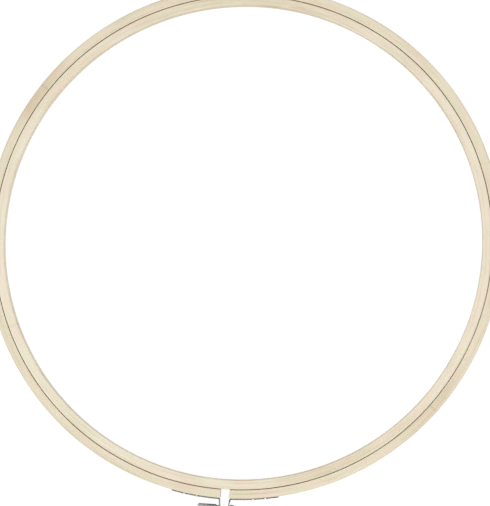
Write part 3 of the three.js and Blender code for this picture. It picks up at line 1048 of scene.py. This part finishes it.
def cut_away(built, cutter):
    """Takes a cutter's shape out of an object, and the cutter away."""
    cut = built.modifiers.new("cut", "BOOLEAN")
    cut.operation = "DIFFERENCE"
    cut.solver = "EXACT"
    cut.object = cutter
    bpy.context.view_layer.update()
    apply_modifiers(built)
    bpy.data.objects.remove(cutter)
    weld(built)


# The nut

def hexagon_radius(angle):
    """The distance from the axis to a hexagon with a corner at angle 0."""
    within = (angle + math.radians(30)) % math.radians(60) - math.radians(30)
    return NUT_ACROSS_FLATS / 2 / math.cos(math.radians(30) - abs(within))


def nut_rows(half):
    """Rows of the nut's (along, radius) round it, from its bore over one face and back over the other."""
    corner = NUT_ACROSS_FLATS / math.sqrt(3)
    flat_radius = corner - 2 * NUT_CHAMFER

    def face(outside):
        cone = max(0.0, (outside - flat_radius) * NUT_CHAMFER / (corner - flat_radius))
        flat = min(outside, flat_radius)
        return [
            (half - COUNTERSINK, root_radius - 0.0002),
            (half, screw_radius + 0.0003),
            (half, flat * 0.93),
            (half, flat - 0.00004),
            (half - cone - 0.00003, outside - 0.00002),
            (half - cone - 0.00015, outside),
        ]

    places = [face(hexagon_radius(FULL_TURN * i / NUT_SIDES)) for i in range(NUT_SIDES)]
    count = len(places[0])
    rows = [[(-place[n][0], place[n][1]) for place in places] for n in range(count)]
    return rows + [[place[n] for place in places] for n in reversed(range(count))]


def tap():
    """What cuts the nut's thread: the screw's own form, a little larger, placed about the nut's middle."""
    knob_end = screw_low.x + KNOB_LENGTH

    def profile(along, angle):
        return thread_radius(along, angle, screw_radius + THREAD_GAP, root_radius + THREAD_GAP)

    start = nut_low.x - knob_end - THREAD_PITCH
    end = nut_high.x - knob_end + THREAD_PITCH
    points, faces = threaded_surface(start, end, profile)
    faces.append(tuple(range(THREAD_SIDES)))
    faces.append(tuple(range(len(points) - THREAD_SIDES, len(points))))
    built = mesh_object("tap", points, faces)
    weld(built)
    built.data.transform(Matrix.Translation((knob_end - (nut_low.x + nut_high.x) / 2, 0, 0)))
    return built


def nut(name):
    """A hexagon nut about the X axis, a corner towards +Y and -Y, with chamfered corners and a thread."""
    half = (nut_high.x - nut_low.x) / 2
    points, rows = [], []
    for row in nut_rows(half):
        around = [around_x(*place, FULL_TURN * i / NUT_SIDES) for i, place in enumerate(row)]
        rows.append(add_row(points, around))
    built = mesh_object(name, points, skin(rows + rows[:1]), 25)
    cut_away(built, tap())

    places = [point.co for point in built.data.vertices]
    mark_turned(built, places)
    depths = [(math.hypot(y, z) - root_radius - THREAD_GAP) / THREAD_DEPTH for _, y, z in places]
    # Painted shade in the nut's thread.
    set_numbers(built, "recess", [THREAD_SHADE * depth if 0 < depth < 1 else 0.0 for depth in depths])
    mark_edges(built)
    built.data.transform(Matrix.Translation((nut_low.x + half, screw_axis.y, screw_axis.z)))
    shade(built, 25)
    return built


# The picture

def camera():
    """Above the hoop, leaning as in the picture, so that the rings' middle comes where the picture has it."""
    right = Vector((math.cos(PICTURE_TURN), math.sin(PICTURE_TURN), 0))
    up = Vector((-math.sin(PICTURE_TURN), math.cos(PICTURE_TURN), 0))
    top = Vector((ring_centre.x, ring_centre.y, ring_height))
    aim = top + (right * (PICTURE_WIDTH / 2 - MIDDLE_ACROSS)
                 - up * (PICTURE_HEIGHT / 2 - MIDDLE_DOWN)) / PIXELS_PER_METRE
    back = right * math.sin(CAMERA_LEAN_RIGHT) - up * math.sin(CAMERA_LEAN_DOWN) + Vector((0, 0, 1))
    back.normalize()
    data = bpy.data.cameras.new("camera")
    made = add_object("camera", data)
    across = up.cross(back).normalized()
    axes = Matrix((across, back.cross(across), back)).transposed()
    made.matrix_world = Matrix.Translation(aim + back * CAMERA_DISTANCE) @ axes.to_4x4()
    seen = PICTURE_HEIGHT / PIXELS_PER_METRE
    data.lens = data.sensor_width * CAMERA_DISTANCE / seen
    data.clip_start, data.clip_end = 0.01, 100
    bpy.context.scene.camera = made


def lamp(name, place, size, power):
    """A round soft lamp that points at the frame's origin."""
    data = bpy.data.lights.new(name, "AREA")
    data.shape = "DISK"
    data.size = size
    data.energy = power
    made = add_object(name, data)
    made.location = place
    made.rotation_euler = (-Vector(place)).to_track_quat("-Z", "Y").to_euler()


def seen_directly(tree):
    """1 for what the camera sees, straight or in metal and glass, 0 for what only lights the object."""
    rays = tree.nodes.new("ShaderNodeLightPath")
    total = rays.outputs["Is Camera Ray"]
    for name in ("Is Glossy Ray", "Is Transmission Ray"):
        both = tree.nodes.new("ShaderNodeMath")
        both.operation = "MAXIMUM"
        tree.links.new(total, both.inputs[0])
        tree.links.new(rays.outputs[name], both.inputs[1])
        total = both.outputs[0]
    return total


def surroundings():
    """White all round where it is seen, and a dimmer soft light on the object."""
    world = bpy.data.worlds.new("studio")
    bpy.context.scene.world = world
    world.use_nodes = True
    tree = world.node_tree
    tree.nodes.clear()
    shaders = []
    for strength in (LIGHT_STRENGTH, 1.0):
        background = tree.nodes.new("ShaderNodeBackground")
        background.inputs["Strength"].default_value = strength
        background.inputs["Color"].default_value = (1, 1, 1, 1)
        shaders.append(background)
    choose = tree.nodes.new("ShaderNodeMixShader")
    tree.links.new(seen_directly(tree), choose.inputs[0])
    for n, background in enumerate(shaders):
        tree.links.new(background.outputs[0], choose.inputs[n + 1])
    output = tree.nodes.new("ShaderNodeOutputWorld")
    tree.links.new(choose.outputs[0], output.inputs[0])


def floor():
    """A plain white floor that keeps only a faint shadow."""
    corners = [(x * FLOOR_HALF, y * FLOOR_HALF, FLOOR_LEVEL) for x, y in ((-1, -1), (1, -1), (1, 1), (-1, 1))]
    made = add_mesh("floor", corners, [(0, 1, 2, 3)])
    shader = Shader("floor_paper")
    plain = shader.node("ShaderNodeBsdfDiffuse", {"Color": paint(236, 235, 232)})
    dimmed = shader.node("ShaderNodeBsdfDiffuse", {"Color": (0.08, 0.08, 0.08, 1)})
    glow = shader.node("ShaderNodeEmission", {"Color": (1, 1, 1, 1), "Strength": FLOOR_GLOW})
    lit = shader.node("ShaderNodeAddShader", {0: dimmed.outputs[0], 1: glow.outputs[0]})
    looks = {0: seen_directly(shader.tree), 1: plain.outputs[0], 2: lit.outputs[0]}
    choose = shader.node("ShaderNodeMixShader", looks)
    shader.node("ShaderNodeOutputMaterial", {"Surface": choose.outputs[0]})
    made.data.materials.append(shader.material)


# Putting it together

def dress(built, material, slot, body, *nodes):
    built.data.materials.clear()
    built.data.materials.append(material)
    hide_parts(*nodes)
    if body:
        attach(built, body)


camera()
surroundings()
lamp("key", place=(0.7, -0.7, 1.9), size=1.4, power=18.3)
lamp("fill", place=(-0.9, 0.0, 1.8), size=1.6, power=8.5)
floor()

INNER_TONES = [(0.0, paint(248, 242, 228)), (0.5, paint(236, 227, 209)), (1.0, paint(202, 183, 151))]
OUTER_TONES = [(0.0, paint(242, 234, 216)), (0.5, paint(230, 220, 199)), (1.0, paint(194, 172, 136))]
# Painted shade on the rings' sides: the depths in mm over which it fades in at the gap between the rings and
# at the inner ring's inside face, and how dark it gets.
GAP_SHADE_DEPTH = 0.25
RIM_SHADE_DEPTH = 0.7
INNER_SIDE_SHADE = [(GAP_SHADE_DEPTH, 0.0, 0.32), (INNER_WALL / MM - RIM_SHADE_DEPTH, INNER_WALL / MM, 0.08)]
OUTER_SIDE_SHADE = [(OUTER_WALL / MM - GAP_SHADE_DEPTH, OUTER_WALL / MM, 0.32)]
# Stretches of the rings made darker, and paler where the amount is below 0. They follow the tone round the
# rings, partly the wood's own with its knots at 146 and -37 degrees, and partly painted light from how the
# lamps fall: the inner ring's paler stretch about 195 degrees is a painted lit side.
INNER_PATCHES = [(100, 0.085, 0.14), (300, 0.09, 0.08), (294, 0.03, 0.15), (136, 0.018, 0.05),
                 (195, 0.08, -0.08)]
OUTER_PATCHES = [(146, 0.022, 0.16), (-37, 0.026, 0.14), (16, 0.03, 0.09), (36, 0.03, -0.07)]
INNER_KNOTS = [204]
OUTER_KNOTS = [146, -37]
# Painted highlights on the strips' edges over the far and near pins: (mm along, half length in mm, amount).
GLINT_PLACES = [(PIN_PLACES[0] / MM, 0.35, 0.8), (PIN_PLACES[1] / MM, 0.3, 0.5)]

inner_bamboo = bamboo("inner_bamboo", INNER_TONES, SCARF_ANGLE, SCARF_LENGTH / INNER_WALL, INNER_PATCHES,
                      INNER_KNOTS, INNER_SIDE_SHADE, seed=(3.1, 9.2, 5.7))
outer_bamboo = bamboo("outer_bamboo", OUTER_TONES, SPLIT_ANGLE, 0.0, OUTER_PATCHES,
                      OUTER_KNOTS, OUTER_SIDE_SHADE, seed=(17.4, 2.6, 8.9))
# The strips' edge tone is dark: partly the darker cut edge of the steel, partly painted shade and a dark
# reflection along the strip's top edge next to the wood.
bracket_steel = steel("bracket_steel", light=paint(204, 203, 199), dark=paint(162, 161, 156),
                      edge_tone=paint(99, 98, 96), recess_darkening=0.9, rough=0.34, lay=(0.12, 16, 16),
                      edge_start=0.975, edge_amount=1.0, glint_places=GLINT_PLACES)
# The screw's paler edge tone is worn brightness on the nut's sharp edges, and on the knurl's diamond tops
# partly a painted highlight.
screw_steel = steel("screw_steel", light=paint(226, 225, 221), dark=paint(196, 195, 191),
                    edge_tone=paint(236, 235, 232), recess_darkening=0.7, rough=0.30, lay=(14, 14, 1))
pin_steel = steel("pin_steel", light=paint(226, 225, 221), dark=paint(184, 183, 178),
                  edge_tone=paint(206, 205, 200), recess_darkening=0.6, rough=0.26, lay=(9, 9, 1))

dress(inner_ring(), inner_bamboo, "inner_wood", "inner", "inner_ring")
outer = outer_ring()
dress(outer, outer_bamboo, "outer_wood", None, "outer_ring")
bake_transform(outer)
for side_name, side, body, darkening in (("left", -1, "outer", 0.25), ("right", 1, "right_end", 1.0)):
    plate = bracket(f"{side_name}_bracket_plate", side, darkening)
    dress(plate, bracket_steel, "bracket_steel", body, f"{side_name}_bracket")
    for place, from_end in zip(("far", "near"), PIN_PLACES):
        made = pin(f"{side_name}_{place}_pin", side, from_end)
        dress(made, pin_steel, "pin_steel", body, f"{side_name}_bracket_pin_{place}")
dress(thumb_screw(), screw_steel, "screw_steel", "screw", "thumb_screw")
dress(nut("hexagon_nut"), screw_steel, "screw_steel", "right_end", "nut")

bpy.context.scene.view_settings.view_transform = "Standard"
